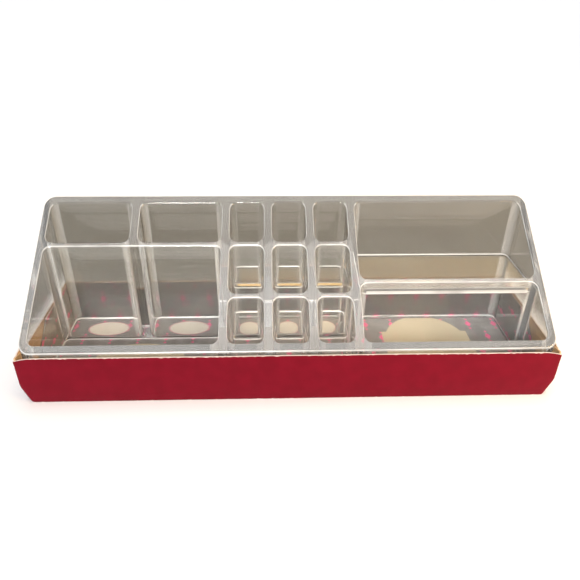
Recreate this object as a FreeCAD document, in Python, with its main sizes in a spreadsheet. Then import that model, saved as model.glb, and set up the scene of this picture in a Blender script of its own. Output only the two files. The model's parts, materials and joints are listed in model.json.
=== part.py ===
import FreeCAD, Part
import math
import os

import Sketcher

# A clear moulded cosmetics tray standing in a low folded carton.
# The carton stands on the plane z = 0, centred on the origin. +X runs to the right along the
# tray, +Y to its tall back and +Z up. All lengths are in millimetres.

SIZES = {
    # Tray: outline of the moulding. The two heights are those of the rim's slope where it
    # meets the back and front faces, before its edges are broken.
    "tray_width": 300.0,
    "tray_depth": 84.0,
    "tray_back_height": 90.4,
    "tray_front_height": 32.0,
    "tray_wall": 2.5,
    "tray_floor": 2.2,
    "tray_corner_round": 6.5,
    "cell_corner_round": 5.0,
    "rim_bevel": 0.8,
    "floor_bevel": 0.8,
    "foot_round": 1.2,
    # Tray: dividers and raised floors
    "divider_wall": 2.4,
    "column_pitch": 25.7,
    "row_pitch": 28.0,
    "pocket_depth": 29.0,
    "shelf_wall_reach": 35.0,
    "shelf_lip": 6.5,
    # Carton and the printed card that lines it
    "board": 0.8,
    "carton_height": 31.0,
    "glue_flap_length": 25.0,
    "glue_flap_taper": 5.0,
    "corner_facet_run": 5.0,
    "corner_facet_height": 13.0,
    "liner_card": 0.4,
    "liner_height": 29.8,
    "tray_play": 0.4,
    # How far a cut starts outside the solid that it cuts
    "overrun": 10.0,
}

COLUMN_COUNT = 3
ROW_COUNT = 3
# Cosine above which two directions count as the same
SAME_DIRECTION_SHARE = 0.99999

doc = FreeCAD.newDocument("vanity_organizer")
nodes = []


# Driving dimensions

sheet = doc.addObject("Spreadsheet::Sheet", "Sizes")
for row, (alias, length) in enumerate(SIZES.items(), start=1):
    sheet.set(f"A{row}", alias)
    sheet.set(f"B{row}", str(length))
    sheet.setAlias(f"B{row}", alias)
doc.recompute()


def value(expression):
    """The number that an expression over the sheet gives now."""
    return float(sheet.evalExpression(expression))


# Lines of the tray's plan, measured from the front left corner of its outline

LEFT_FACE = "Sizes.tray_wall"
RIGHT_FACE = "(Sizes.tray_width - Sizes.tray_wall)"
FRONT_FACE = "Sizes.tray_wall"
BACK_FACE = "(Sizes.tray_depth - Sizes.tray_wall)"
HALF_DIVIDER = "Sizes.divider_wall / 2"


def column_wall(index):
    """Centre line of a wall of the middle section, counted from the left."""
    return f"(Sizes.tray_width / 2 + ({index} - {COLUMN_COUNT} / 2) * Sizes.column_pitch)"


def row_wall(index):
    """Centre line of a cross wall, counted from the front."""
    return f"({index} * Sizes.row_pitch)"


def beyond(line):
    """The face of a divider on the side of larger coordinates."""
    return f"({line} + {HALF_DIVIDER})"


def before(line):
    """The face of a divider on the side of smaller coordinates."""
    return f"({line} - {HALF_DIVIDER})"


def rim_height(reach):
    """Height of the slanted rim at a distance from the front."""
    rise = "(Sizes.tray_back_height - Sizes.tray_front_height)"
    return f"(Sizes.tray_front_height + {rise} * ({reach}) / Sizes.tray_depth)"


LEFT_COLUMN = column_wall(0)
RIGHT_COLUMN = column_wall(COLUMN_COUNT)
BACK_ROW_WALL = row_wall(ROW_COUNT - 1)
LEFT_DIVIDER = f"({LEFT_FACE} + {before(LEFT_COLUMN)}) / 2"
SHELF_WALL = "Sizes.shelf_wall_reach"
SHELF_HEIGHT = f"({rim_height(SHELF_WALL)} - Sizes.shelf_lip)"


def row_floor(index):
    """Height of the floor of a row of small pockets: one pocket depth below its front wall."""
    return f"({rim_height(row_wall(index))} - Sizes.pocket_depth)"


def pocket_row(index):
    """Plan of each small pocket in one row of the middle section."""
    front = FRONT_FACE if index == 0 else beyond(row_wall(index))
    back = BACK_FACE if index == ROW_COUNT - 1 else before(row_wall(index + 1))
    return [
        (beyond(column_wall(column)), before(column_wall(column + 1)), front, back)
        for column in range(COLUMN_COUNT)
    ]


BASE_CELLS = pocket_row(0) + [
    (LEFT_FACE, before(LEFT_DIVIDER), beyond(BACK_ROW_WALL), BACK_FACE),
    (beyond(LEFT_DIVIDER), before(LEFT_COLUMN), beyond(BACK_ROW_WALL), BACK_FACE),
    (LEFT_FACE, before(LEFT_COLUMN), FRONT_FACE, before(BACK_ROW_WALL)),
    (beyond(RIGHT_COLUMN), RIGHT_FACE, FRONT_FACE, before(SHELF_WALL)),
]
SHELF_CELLS = [(beyond(RIGHT_COLUMN), RIGHT_FACE, beyond(SHELF_WALL), BACK_FACE)]


# Sketches and features of the moulding

def new_sketch(body, name, plane, offset):
    """A sketch on an origin plane of the body, moved along the plane's normal."""
    sketch = body.newObject("Sketcher::SketchObject", name)
    origin_plane = [item for item in body.Origin.OriginFeatures if item.Role == plane][0]
    sketch.AttachmentSupport = [(origin_plane, "")]
    sketch.MapMode = "FlatFace"
    sketch.setExpression("AttachmentOffset.Base.z", offset)
    doc.recompute()
    return sketch


def bind(sketch, constraint, expression):
    """Adds a constraint whose size follows an expression."""
    index = sketch.addConstraint(constraint)
    sketch.setExpression(f"Constraints[{index}]", expression)


def rounded_rectangle(sketch, low_x, high_x, low_y, high_y, corner_round):
    """Draws a rectangle with round corners between four lines given as expressions."""
    x0, x1, y0, y1 = value(low_x), value(high_x), value(low_y), value(high_y)
    radius = value(corner_round)
    up = FreeCAD.Vector(0, 0, 1)
    right_angle = math.pi / 2

    def side(start, end):
        points = [FreeCAD.Vector(x, y, 0) for x, y in (start, end)]
        return sketch.addGeometry(Part.LineSegment(*points))

    def corner(x, y, turns):
        circle = Part.Circle(FreeCAD.Vector(x, y, 0), up, radius)
        arc = Part.ArcOfCircle(circle, turns * right_angle, (turns + 1) * right_angle)
        return sketch.addGeometry(arc)

    front = side((x0 + radius, y0), (x1 - radius, y0))
    right = side((x1, y0 + radius), (x1, y1 - radius))
    back = side((x1 - radius, y1), (x0 + radius, y1))
    left = side((x0, y1 - radius), (x0, y0 + radius))
    sides = [front, right, back, left]
    corners = [
        corner(x1 - radius, y0 + radius, -1),
        corner(x1 - radius, y1 - radius, 0),
        corner(x0 + radius, y1 - radius, 1),
        corner(x0 + radius, y0 + radius, 2),
    ]
    for index, arc in enumerate(corners):
        following = sides[(index + 1) % len(sides)]
        sketch.addConstraint(Sketcher.Constraint("Tangent", sides[index], 2, arc, 1))
        sketch.addConstraint(Sketcher.Constraint("Tangent", arc, 2, following, 1))
    for line in (front, back):
        sketch.addConstraint(Sketcher.Constraint("Horizontal", line))
    for line in (right, left):
        sketch.addConstraint(Sketcher.Constraint("Vertical", line))
    for arc in corners[1:]:
        sketch.addConstraint(Sketcher.Constraint("Equal", corners[0], arc))
    bind(sketch, Sketcher.Constraint("Radius", corners[0], radius), corner_round)
    bind(sketch, Sketcher.Constraint("DistanceX", -1, 1, left, 1, x0), low_x)
    bind(sketch, Sketcher.Constraint("DistanceX", -1, 1, right, 1, x1), high_x)
    bind(sketch, Sketcher.Constraint("DistanceY", -1, 1, front, 1, y0), low_y)
    bind(sketch, Sketcher.Constraint("DistanceY", -1, 1, back, 1, y1), high_y)


def cut(body, name, sketch, depth=None):
    """A pocket along the sketch's normal, through everything or to a depth; it must remove material."""
    before_cut = body.Shape.Volume
    pocket = body.newObject("PartDesign::Pocket", name)
    pocket.Profile = sketch
    pocket.Reversed = True
    if depth is None:
        pocket.Type = "ThroughAll"
    else:
        pocket.Type = "Length"
        pocket.setExpression("Length", depth)
    doc.recompute()
    if not body.Shape.Volume < before_cut:
        raise RuntimeError(f"{name} cuts nothing")
    return pocket


def cells(body, name, floor, plans):
    """Open cells that share one floor height."""
    sketch = new_sketch(body, f"{name}_plan", "XY_Plane", floor)
    for plan in plans:
        rounded_rectangle(sketch, *plan, "Sizes.cell_corner_round")
    return cut(body, name, sketch)


def hollow(body, name, floor, plans):
    """The hollow left under a raised floor, open at the base, with the floor's own thickness above."""
    sketch = new_sketch(body, f"{name}_plan", "XY_Plane", "0")
    for plan in plans:
        rounded_rectangle(sketch, *plan, "Sizes.cell_corner_round")
    return cut(body, name, sketch, f"{floor} - Sizes.tray_floor")


def finish_edges(body, name, kind, direction, reach):
    """A fillet or chamfer on every edge of the flat faces that look in a direction."""
    tip = body.Tip
    names = []
    for number, face in enumerate(tip.Shape.Faces, start=1):
        flat = isinstance(face.Surface, Part.Plane)
        if flat and face.normalAt(0, 0).dot(direction) > SAME_DIRECTION_SHARE:
            names.append(f"Face{number}")
    feature = body.newObject(f"PartDesign::{kind}", name)
    feature.Base = (tip, names)
    feature.setExpression("Radius" if kind == "Fillet" else "Size", reach)
    doc.recompute()
    return feature


def make_tray():
    """The clear moulding: an outline block with a slanted rim, open cells and hollow raised floors."""
    body = doc.addObject("PartDesign::Body", "clear_tray")
    outline = new_sketch(body, "tray_outline", "XY_Plane", "0")
    rounded_rectangle(outline, "0", "Sizes.tray_width", "0", "Sizes.tray_depth", "Sizes.tray_corner_round")
    block = body.newObject("PartDesign::Pad", "tray_block")
    block.Profile = outline
    block.setExpression("Length", "Sizes.tray_back_height + Sizes.overrun")
    doc.recompute()
    finish_edges(body, "tray_foot", "Fillet", FreeCAD.Vector(0, 0, -1), "Sizes.foot_round")
    slant_rim(body)
    cells(body, "base_cells", "Sizes.tray_floor", BASE_CELLS)
    for row in range(1, ROW_COUNT):
        cells(body, f"pocket_row_{row}", row_floor(row), pocket_row(row))
        hollow(body, f"pocket_hollow_{row}", row_floor(row), pocket_row(row))
    cells(body, "shelf_cell", SHELF_HEIGHT, SHELF_CELLS)
    hollow(body, "shelf_hollow", SHELF_HEIGHT, SHELF_CELLS)
    finish_edges(body, "floor_edges", "Chamfer", FreeCAD.Vector(0, 0, 1), "Sizes.floor_bevel")
    rise = value("Sizes.tray_back_height - Sizes.tray_front_height")
    rim_normal = FreeCAD.Vector(0, -rise, value("Sizes.tray_depth")).normalize()
    finish_edges(body, "rim_edges", "Chamfer", rim_normal, "Sizes.rim_bevel")
    body.setExpression("Placement.Base.x", "-Sizes.tray_width / 2")
    body.setExpression("Placement.Base.y", "-Sizes.tray_depth / 2")
    body.setExpression("Placement.Base.z", "Sizes.board + Sizes.liner_card")
    return body


def slant_rim(body):
    """Cuts the block down to the straight slope from the tall back to the low front."""
    sketch = new_sketch(body, "rim_slope", "YZ_Plane", "-Sizes.overrun")
    ahead = "-Sizes.overrun"
    behind = "(Sizes.tray_depth + Sizes.overrun)"
    above = f"({rim_height(behind)} + Sizes.overrun)"
    corners = [
        (ahead, rim_height(ahead)),
        (behind, rim_height(behind)),
        (behind, above),
        (ahead, above),
    ]
    points = [FreeCAD.Vector(value(y), value(z), 0) for y, z in corners]
    lines = []
    for index, point in enumerate(points):
        lines.append(sketch.addGeometry(Part.LineSegment(point, points[(index + 1) % len(points)])))
    for index, line in enumerate(lines):
        following = lines[(index + 1) % len(lines)]
        sketch.addConstraint(Sketcher.Constraint("Coincident", line, 2, following, 1))
    for line, (y, z), point in zip(lines, corners, points):
        bind(sketch, Sketcher.Constraint("DistanceX", -1, 1, line, 1, point.x), y)
        bind(sketch, Sketcher.Constraint("DistanceY", -1, 1, line, 1, point.y), z)
    cut(body, "rim_cut", sketch)


# Carton: a folded board tray whose lower corners are pressed in to flat facets

INNER_HALF_LENGTH = "(Sizes.tray_width / 2 + Sizes.tray_play + Sizes.liner_card + Sizes.board)"
INNER_HALF_WIDTH = "(Sizes.tray_depth / 2 + Sizes.tray_play + Sizes.liner_card)"
OUTER_HALF_LENGTH = f"({INNER_HALF_LENGTH} + Sizes.board)"
OUTER_HALF_WIDTH = f"({INNER_HALF_WIDTH} + Sizes.board)"
LINER_HALF_LENGTH = "(Sizes.tray_width / 2 + Sizes.tray_play)"
CORNERS = {"front_left": (-1, -1), "front_right": (1, -1), "back_left": (-1, 1), "back_right": (1, 1)}


def corner_pyramid(side_x, side_y, growth):
    """The corner of the carton's outer block in front of a facet, grown about its own corner point."""
    x = side_x * value(OUTER_HALF_LENGTH)
    y = side_y * value(OUTER_HALF_WIDTH)
    run = growth * value("Sizes.corner_facet_run")
    rise = growth * value("Sizes.corner_facet_height")
    corner = FreeCAD.Vector(x, y, 0)
    along = FreeCAD.Vector(x - side_x * run, y, 0)
    across = FreeCAD.Vector(x, y - side_y * run, 0)
    top = FreeCAD.Vector(x, y, rise)
    triangles = [(corner, along, across), (corner, along, top), (corner, across, top), (along, across, top)]
    faces = [Part.Face(Part.makePolygon([a, b, c, a])) for a, b, c in triangles]
    solid = Part.Solid(Part.Shell(faces))
    if solid.Volume < 0:
        solid.reverse()
    return solid


def facet_growth():
    """Growth of a corner pyramid that moves its facet inwards by one board."""
    run = value("Sizes.corner_facet_run")
    rise = value("Sizes.corner_facet_height")
    distance = (1 / run**2 + 1 / run**2 + 1 / rise**2) ** -0.5
    return (distance + value("Sizes.board")) / distance


def make_corner_facets():
    """Four small triangles of board, one across each lower corner, and the space they take up."""
    growth = facet_growth()
    cutters = []
    for name, (side_x, side_y) in CORNERS.items():
        grown = corner_pyramid(side_x, side_y, growth)
        facet = doc.addObject("Part::Feature", f"carton_{name}_facet")
        facet.Shape = grown.cut(corner_pyramid(side_x, side_y, 1))
        nodes.append(facet)
        cutters.append(grown)
    tool = doc.addObject("Part::Feature", "corner_space")
    tool.Shape = Part.makeCompound(cutters)
    return tool


def snip(name, board, corner_space):
    """Makes a piece of board a node, without what reaches into the pressed-in corners."""
    piece = doc.addObject("Part::Cut", name)
    piece.Base = board
    piece.Tool = corner_space
    nodes.append(piece)


def make_panel(name, x_span, y_span, z_span, corner_space):
    """A flat panel between pairs of expressions."""
    board = doc.addObject("Part::Box", f"{name}_board")
    sides = (("Length", "x", x_span), ("Width", "y", y_span), ("Height", "z", z_span))
    for side, axis, (low, high) in sides:
        board.setExpression(side, f"{high} - ({low})")
        board.setExpression(f"Placement.Base.{axis}", low)
    snip(name, board, corner_space)


def make_glue_flap(name, side_x, side_y, corner_space):
    """A flap folded from the front or back wall and glued behind the end, narrower at its free end."""
    full = ("Sizes.board", "Sizes.carton_height")
    narrow = ("Sizes.board + Sizes.glue_flap_taper", "Sizes.carton_height - Sizes.glue_flap_taper")
    thickness = mirrored(f"({INNER_HALF_LENGTH} - Sizes.board)", INNER_HALF_LENGTH, side_x)
    spans = {
        "X": thickness,
        "X2": thickness,
        "Y": mirrored(f"({INNER_HALF_WIDTH} - Sizes.glue_flap_length)", INNER_HALF_WIDTH, side_y),
        "Z": full if side_y < 0 else narrow,
        "Z2": narrow if side_y < 0 else full,
    }
    board = doc.addObject("Part::Wedge", f"{name}_board")
    for axis, (low, high) in spans.items():
        board.setExpression(f"{axis}min", low)
        board.setExpression(f"{axis}max", high)
    snip(name, board, corner_space)


def mirrored(low, high, side):
    """A span on the right or back, or its mirror image on the left or front."""
    return (low, high) if side > 0 else (f"-({high})", f"-({low})")


def make_carton(corner_space):
    """Base, four walls and the four glue flaps behind the end walls."""
    full_length = (f"-{INNER_HALF_LENGTH}", INNER_HALF_LENGTH)
    full_width = (f"-{INNER_HALF_WIDTH}", INNER_HALF_WIDTH)
    outer_length = (f"-{OUTER_HALF_LENGTH}", OUTER_HALF_LENGTH)
    wall_height = ("0", "Sizes.carton_height")
    make_panel("carton_base", full_length, full_width, ("0", "Sizes.board"), corner_space)
    for name, side in (("front", -1), ("back", 1)):
        thickness = mirrored(INNER_HALF_WIDTH, OUTER_HALF_WIDTH, side)
        make_panel(f"carton_{name}_wall", outer_length, thickness, wall_height, corner_space)
    for name, side in (("left", -1), ("right", 1)):
        thickness = mirrored(INNER_HALF_LENGTH, OUTER_HALF_LENGTH, side)
        make_panel(f"carton_{name}_end", thickness, full_width, wall_height, corner_space)
    for name, (side_x, side_y) in CORNERS.items():
        make_glue_flap(f"carton_{name}_glue_flap", side_x, side_y, corner_space)


def make_liner(corner_space):
    """The printed card under the tray, folded up behind it and at both ends."""
    back_fold = f"({INNER_HALF_WIDTH} - Sizes.liner_card)"
    outer = f"({LINER_HALF_LENGTH} + Sizes.liner_card)"
    lying = ("Sizes.board", "Sizes.board + Sizes.liner_card")
    standing = ("Sizes.board", "Sizes.liner_height")
    reach = (f"-{INNER_HALF_WIDTH}", back_fold)
    make_panel("liner_floor", (f"-{LINER_HALF_LENGTH}", LINER_HALF_LENGTH), reach, lying, corner_space)
    back = (back_fold, INNER_HALF_WIDTH)
    make_panel("liner_back_fold", (f"-{outer}", outer), back, standing, corner_space)
    for name, side in (("left", -1), ("right", 1)):
        thickness = mirrored(LINER_HALF_LENGTH, outer, side)
        make_panel(f"liner_{name}_fold", thickness, reach, standing, corner_space)


def write_parts():
    """Checks every object and writes one file for each piece."""
    doc.recompute()
    for item in doc.Objects:
        if "Invalid" in item.State or "Error" in item.State:
            raise RuntimeError(f"{item.Label} failed: {item.State}")
    os.makedirs("parts", exist_ok=True)
    for node in nodes:
        if node.Shape.isNull() or not node.Shape.isValid():
            raise RuntimeError(f"{node.Label} has no valid shape")
        node.Shape.exportStep(os.path.join("parts", f"{node.Label}.step"))
        print(node.Label, len(node.Shape.Solids), round(node.Shape.Volume, 1))


corner_space = make_corner_facets()
make_carton(corner_space)
make_liner(corner_space)
nodes.append(make_tray())
write_parts()
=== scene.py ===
# %% [markdown]
# A clear vanity organizer in its low red carton.
# The organizer is one clear moulding with 14 compartments under a slanted rim. It stands loose on a
# printed card, in a folded board carton that reaches a third of the way up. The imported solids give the
# outer sizes and the places here. This script gives the pieces their rounded edges and finishes, and draws
# the walls of the tray as thick as they look.

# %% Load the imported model
import json
import math

import bmesh
import bpy
from mathutils import Matrix, Vector


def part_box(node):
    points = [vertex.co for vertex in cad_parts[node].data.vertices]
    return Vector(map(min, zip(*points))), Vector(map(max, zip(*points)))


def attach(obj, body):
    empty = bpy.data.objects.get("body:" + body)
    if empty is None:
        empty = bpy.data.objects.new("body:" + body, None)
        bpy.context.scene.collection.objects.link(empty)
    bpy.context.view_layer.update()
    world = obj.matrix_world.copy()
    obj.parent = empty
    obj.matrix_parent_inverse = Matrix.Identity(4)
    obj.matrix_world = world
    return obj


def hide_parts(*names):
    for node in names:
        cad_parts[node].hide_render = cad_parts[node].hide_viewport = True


MM = 0.001

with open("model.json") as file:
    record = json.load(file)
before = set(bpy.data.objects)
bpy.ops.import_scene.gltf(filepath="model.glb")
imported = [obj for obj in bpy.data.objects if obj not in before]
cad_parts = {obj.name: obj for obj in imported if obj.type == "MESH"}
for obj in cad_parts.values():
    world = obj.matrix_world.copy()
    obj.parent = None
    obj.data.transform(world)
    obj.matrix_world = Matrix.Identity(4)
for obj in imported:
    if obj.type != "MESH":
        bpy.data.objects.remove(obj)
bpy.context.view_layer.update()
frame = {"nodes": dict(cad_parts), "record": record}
nodes = frame["nodes"]

# %% [markdown]
# The camera. A camera could be aimed by eye, but the long straight edges of the tray and carton fix it
# well: its place, tilt and focal length below are those at which these edges fall where they were
# photographed. The image is square, so the focal length in pixels turns into millimetres of lens by
# the width of the sensor.

# %% Camera
IMAGE_SIDE_PX = 580
FOCAL_LENGTH_PX = 555.6
SENSOR_WIDTH_MM = 36.0
CAMERA_PLACE = Vector((-11.2, -287.4, 220.0)) * MM
CAMERA_TILT_DOWN = math.radians(30.97)
CAMERA_TURN_RIGHT = math.radians(2.27)
CAMERA_ROLL = math.radians(0.67)
UPRIGHT = math.radians(90)

bpy.ops.object.select_all(action="DESELECT")
bpy.ops.object.camera_add()
camera = bpy.context.object
camera.data.sensor_width = SENSOR_WIDTH_MM
camera.data.lens = SENSOR_WIDTH_MM * FOCAL_LENGTH_PX / IMAGE_SIDE_PX
aim = Matrix.Rotation(-CAMERA_TURN_RIGHT, 4, "Z")
aim = aim @ Matrix.Rotation(UPRIGHT - CAMERA_TILT_DOWN, 4, "X")
aim = aim @ Matrix.Rotation(CAMERA_ROLL, 4, "Z")
camera.matrix_world = Matrix.Translation(CAMERA_PLACE) @ aim
bpy.context.scene.camera = camera
bpy.context.scene.view_settings.view_transform = "Standard"
print("lens in mm:", round(camera.data.lens, 2))

# %% [markdown]
# Helpers for shader nodes. Every finish below is a small graph of nodes, which could be wired by hand in
# the shader editor. Eight helpers keep the graphs short and readable instead: they add a node, feed a
# socket, make sums, smooth ramps, mixed colours and cloudy noise, start a material and give it relief.

# %% Node helpers
def add(tree, kind, **settings):
    """A new node of a kind, with its settings."""
    node = tree.nodes.new(kind)
    for name, setting in settings.items():
        setattr(node, name, setting)
    return node


def feed(tree, socket, source):
    """Gives a socket a link from another socket, or a plain value."""
    if isinstance(source, bpy.types.NodeSocket):
        tree.links.new(source, socket)
    else:
        socket.default_value = source


def maths(tree, operation, *values):
    """The result of a Math node."""
    node = add(tree, "ShaderNodeMath", operation=operation)
    for socket, source in zip(node.inputs, values):
        feed(tree, socket, source)
    return node.outputs["Value"]


def ramp(tree, value, start, end, low=0.0, high=1.0):
    """A value that eases from low to high while another goes from start to end."""
    node = add(tree, "ShaderNodeMapRange", interpolation_type="SMOOTHSTEP")
    feed(tree, node.inputs["Value"], value)
    feed(tree, node.inputs["From Min"], start)
    feed(tree, node.inputs["From Max"], end)
    feed(tree, node.inputs["To Min"], low)
    feed(tree, node.inputs["To Max"], high)
    return node.outputs["Result"]


def mix(tree, mask, first, second):
    """The first colour where the mask is 0, and the second where it is 1."""
    node = add(tree, "ShaderNodeMix", data_type="RGBA")
    colours = [socket for socket in node.inputs if socket.type == "RGBA"]
    feed(tree, node.inputs["Factor"], mask)
    feed(tree, colours[0], first)
    feed(tree, colours[1], second)
    return [socket for socket in node.outputs if socket.type == "RGBA"][0]


def noise(tree, vector, size, detail=2.0, stretch=None):
    """Cloudy noise with features of about a size in metres, stretched along the axes if asked."""
    if stretch is not None:
        mapping = add(tree, "ShaderNodeMapping")
        feed(tree, mapping.inputs["Vector"], vector)
        feed(tree, mapping.inputs["Scale"], stretch)
        vector = mapping.outputs["Vector"]
    node = add(tree, "ShaderNodeTexNoise")
    feed(tree, node.inputs["Vector"], vector)
    feed(tree, node.inputs["Scale"], 1 / size)
    feed(tree, node.inputs["Detail"], detail)
    return node.outputs["Fac"]


def new_material(name):
    """A material with its tree, its shader and the object's own coordinates."""
    material = bpy.data.materials.new(name)
    material.use_nodes = True
    tree = material.node_tree
    return material, tree, tree.nodes["Principled BSDF"], add(tree, "ShaderNodeTexCoord").outputs


def roughen(tree, shader, height, strength, depth):
    """Relief on a surface, from a height."""
    bump = add(tree, "ShaderNodeBump")
    feed(tree, bump.inputs["Height"], height)
    feed(tree, bump.inputs["Strength"], strength)
    feed(tree, bump.inputs["Distance"], depth)
    feed(tree, shader.inputs["Normal"], bump.outputs["Normal"])


print("node helpers ready")

# %% [markdown]
# The stage. The object stands on a plain white floor that reaches past the frame on all sides. White is
# the floor's own colour, so the tray still throws its soft shadow on it. The world is white wherever it
# is seen, in a mirror or through the plastic as well, and gives a plain, lower level of light to
# everything else.

# %% Floor
FLOOR_SIDE = 40.0
FLOOR_COLOUR = (0.96, 0.96, 0.96, 1)
FLOOR_ROUGHNESS = 0.9
FLOOR_SHINE = 0.1
TOOTH_SIZE = 0.6 * MM
TOOTH_STRENGTH = 0.05
TOOTH_DEPTH = 0.1 * MM

bpy.ops.mesh.primitive_plane_add(size=FLOOR_SIDE)
floor = bpy.context.object
floor.name = "studio_floor"

paper, paper_tree, paper_shader, paper_place = new_material("floor_paper")
paper_tooth = noise(paper_tree, paper_place["Object"], TOOTH_SIZE)
roughen(paper_tree, paper_shader, paper_tooth, TOOTH_STRENGTH, TOOTH_DEPTH)
feed(paper_tree, paper_shader.inputs["Base Color"], FLOOR_COLOUR)
feed(paper_tree, paper_shader.inputs["Roughness"], FLOOR_ROUGHNESS)
feed(paper_tree, paper_shader.inputs["Specular IOR Level"], FLOOR_SHINE)
floor.data.materials.append(paper)
print("floor", FLOOR_SIDE, "m wide")

# %% World
WHITE = (1, 1, 1, 1)
WORLD_LIGHT = 0.22
FIRST_BOUNCE = 0.5

world = bpy.data.worlds.new("studio")
world.use_nodes = True
bpy.context.scene.world = world
world_tree = world.node_tree
path = add(world_tree, "ShaderNodeLightPath")
seen = maths(world_tree, "MAXIMUM", path.outputs["Is Camera Ray"], path.outputs["Is Glossy Ray"])
seen = maths(world_tree, "MAXIMUM", seen, path.outputs["Is Transmission Ray"])
direct = maths(world_tree, "LESS_THAN", path.outputs["Diffuse Depth"], FIRST_BOUNCE)
strength = maths(world_tree, "MULTIPLY", seen, direct)
backdrop = world_tree.nodes["Background"]
feed(world_tree, backdrop.inputs["Color"], WHITE)
feed(world_tree, backdrop.inputs["Strength"], ramp(world_tree, strength, 0.0, 1.0, WORLD_LIGHT, 1.0))
print("world light", WORLD_LIGHT)

# %% [markdown]
# The lamps. A soft key from the front, a little to the left and a little above the carton, lights its
# face and the compartments, and a very soft light from straight above fills the floors. Both are far
# away, so they light everything alike. A weak warm lamp at the right takes the chill off that end. A
# golden panel high up behind is also seen through the plastic, where it tints the shelf and the steps of
# the pockets. One lamp and a bright world would be simpler, but would leave the plastic flat and grey.

# %% Lamps
KEY_FROM_LEFT = math.radians(7)
KEY_HEIGHT = math.radians(22)
KEY_STRENGTH = 3.0
KEY_SOFTNESS = math.radians(14)
TOP_STRENGTH = 1.5
TOP_SOFTNESS = math.radians(60)
WARM_PLACE = Vector((0.45, -0.30, 0.24))
WARM_TARGET = Vector((0.11, 0.0, 0.03))
WARM_SIZE = (0.25, 0.25)
WARM_WATTS = 1.8
WARM_COLOUR = (1.0, 0.66, 0.30)
PANEL_PLACE = Vector((0.27, 0.90, 0.53))
PANEL_TARGET = Vector((0.09, 0.02, 0.05))
PANEL_SIZE = (0.77, 0.3)
PANEL_WATTS = 3.5
PANEL_COLOUR = (1.0, 0.60, 0.16)


def far_lamp(name, strength, softness, height, from_left):
    """A lamp so far away that it lights the whole floor alike; plastic only tones its light."""
    bpy.ops.object.light_add(type="SUN")
    lamp = bpy.context.object
    lamp.name = name
    lamp.data.energy = strength
    lamp.data.angle = softness
    lamp.rotation_euler = (UPRIGHT - height, 0, -from_left)
    lamp.visible_transmission = False


def softbox(name, place, size, watts, colour, target, seen_through_plastic):
    """A rectangular lamp that looks at a point."""
    bpy.ops.object.light_add(type="AREA", location=place)
    lamp = bpy.context.object
    lamp.name = name
    lamp.data.shape = "RECTANGLE"
    lamp.data.size, lamp.data.size_y = size
    lamp.data.energy = watts
    lamp.data.color = colour
    lamp.rotation_euler = (target - place).to_track_quat("-Z", "Y").to_euler()
    lamp.visible_transmission = seen_through_plastic


far_lamp("key_light", KEY_STRENGTH, KEY_SOFTNESS, KEY_HEIGHT, KEY_FROM_LEFT)
far_lamp("top_light", TOP_STRENGTH, TOP_SOFTNESS, UPRIGHT, 0.0)
softbox("warm_side_lamp", WARM_PLACE, WARM_SIZE, WARM_WATTS, WARM_COLOUR, WARM_TARGET, False)
softbox("warm_back_panel", PANEL_PLACE, PANEL_SIZE, PANEL_WATTS, PANEL_COLOUR, PANEL_TARGET, True)

# %% [markdown]
# Shared surface effects. Board, print and plastic have some detail in common: paper has fibres, handled
# things have smudges and short scratches, and folded board is rubbed along its edges. Each effect could
# be copied into every material, but a node group is built once and placed with other values each time.

# %% Helpers for node groups
VECTOR, NUMBER = "NodeSocketVector", "NodeSocketFloat"


def new_group(name, inputs, outputs):
    """An empty node group with its named sockets; gives the group, its inputs and its outputs."""
    group = bpy.data.node_groups.new(name, "ShaderNodeTree")
    for label, kind in inputs:
        group.interface.new_socket(label, in_out="INPUT", socket_type=kind)
    for label, kind in outputs:
        group.interface.new_socket(label, in_out="OUTPUT", socket_type=kind)
    return group, add(group, "NodeGroupInput").outputs, add(group, "NodeGroupOutput").inputs


def place_group(tree, group, **values):
    """A group placed in a material; underscores in the names stand for spaces."""
    node = add(tree, "ShaderNodeGroup", node_tree=group)
    for name, source in values.items():
        feed(tree, node.inputs[name.replace("_", " ")], source)
    return node.outputs


print("group helpers ready")

# %% Paper fibre
CLOUD_SIZE = 9 * MM
CLOUD_DETAIL = 3.0
CLOUD_RANGE = (0.3, 0.7)
FIBRE_DETAIL = 4.0

fibre_inputs = [("Vector", VECTOR), ("Fibre length", NUMBER)]
fibre_outputs = [("Mottle", NUMBER), ("Height", NUMBER)]
paper_fibre, given, result = new_group("paper_fibre", fibre_inputs, fibre_outputs)
cloud = noise(paper_fibre, given["Vector"], CLOUD_SIZE, CLOUD_DETAIL)
feed(paper_fibre, result["Mottle"], ramp(paper_fibre, cloud, *CLOUD_RANGE))
fibres = add(paper_fibre, "ShaderNodeTexNoise")
feed(paper_fibre, fibres.inputs["Vector"], given["Vector"])
feed(paper_fibre, fibres.inputs["Scale"], maths(paper_fibre, "DIVIDE", 1.0, given["Fibre length"]))
feed(paper_fibre, fibres.inputs["Detail"], FIBRE_DETAIL)
feed(paper_fibre, result["Height"], fibres.outputs["Fac"])
print("group:", paper_fibre.name)

# %% Handling marks
SMUDGE_SIZE = 30 * MM
SMUDGE_DETAIL = 3.0
SMUDGE_RANGE = (0.45, 0.75)
SCRATCH_STRETCH = (35.0, 1400.0, 1400.0)
SCRATCH_RANGE = (0.66, 0.72)
BREAK_SIZE = 14 * MM
BREAK_RANGE = (0.5, 0.62)

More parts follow.
